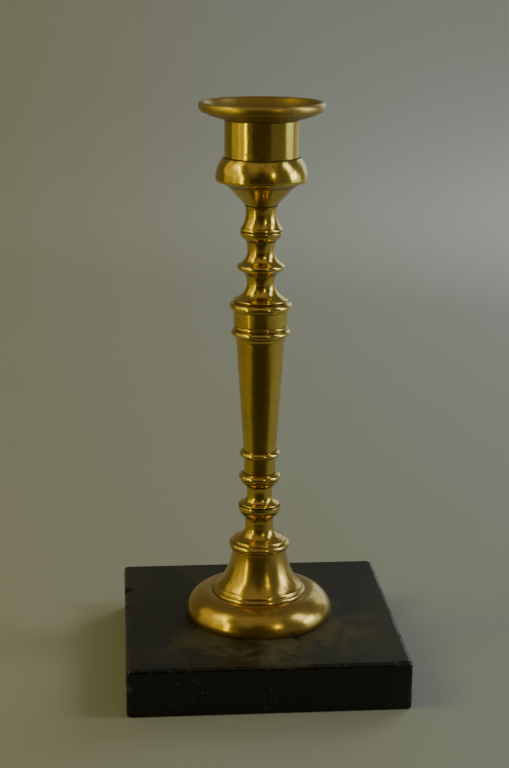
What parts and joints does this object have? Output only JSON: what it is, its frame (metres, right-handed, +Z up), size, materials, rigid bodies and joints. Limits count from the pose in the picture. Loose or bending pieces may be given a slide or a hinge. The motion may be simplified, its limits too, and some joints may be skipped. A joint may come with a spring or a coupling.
{
  "type": "candlestick",
  "caption": "Turned brass candlestick with a tapered stem, cup, lift-out drip-pan nozzle and bell foot, clamped to a square black stone plinth.",
  "frame": {"origin": "on the supporting surface, under the middle of the plinth", "axes": "+Z up along the stem; +X and +Y square to the sides of the plinth"},
  "size_m": [0.09, 0.09, 0.1852],
  "materials": {
    "aged_brass": "satin, aged",
    "raw_brass": "dull, as cut",
    "black_stone": "satin, rubbed",
    "steel": "dull",
    "leather": "matt"
  },
  "bodies": {
    "stand": {"stone_plinth": "black_stone", "bell_foot": "aged_brass", "foot_knop": "aged_brass", "lower_baluster": "aged_brass", "shaft_foot_collar": "aged_brass", "tapered_shaft": "aged_brass", "shaft_head_collar": "aged_brass", "capital_bead": "aged_brass", "upper_baluster": "aged_brass", "cup_stem": "aged_brass", "candle_cup": "aged_brass", "cup_nut": "raw_brass", "tie_rod": "steel", "soft_washer": "leather", "flat_washer": "steel", "tie_nut": "steel"},
    "nozzle": {"candle_sleeve": "aged_brass", "drip_pan": "aged_brass"}
  },
  "joints": [
    {"name": "nozzle_lift", "type": "slide", "parent": "stand", "child": "nozzle", "axis": [0, 0, 1], "range_m": [0, 0.03]}
  ]
}
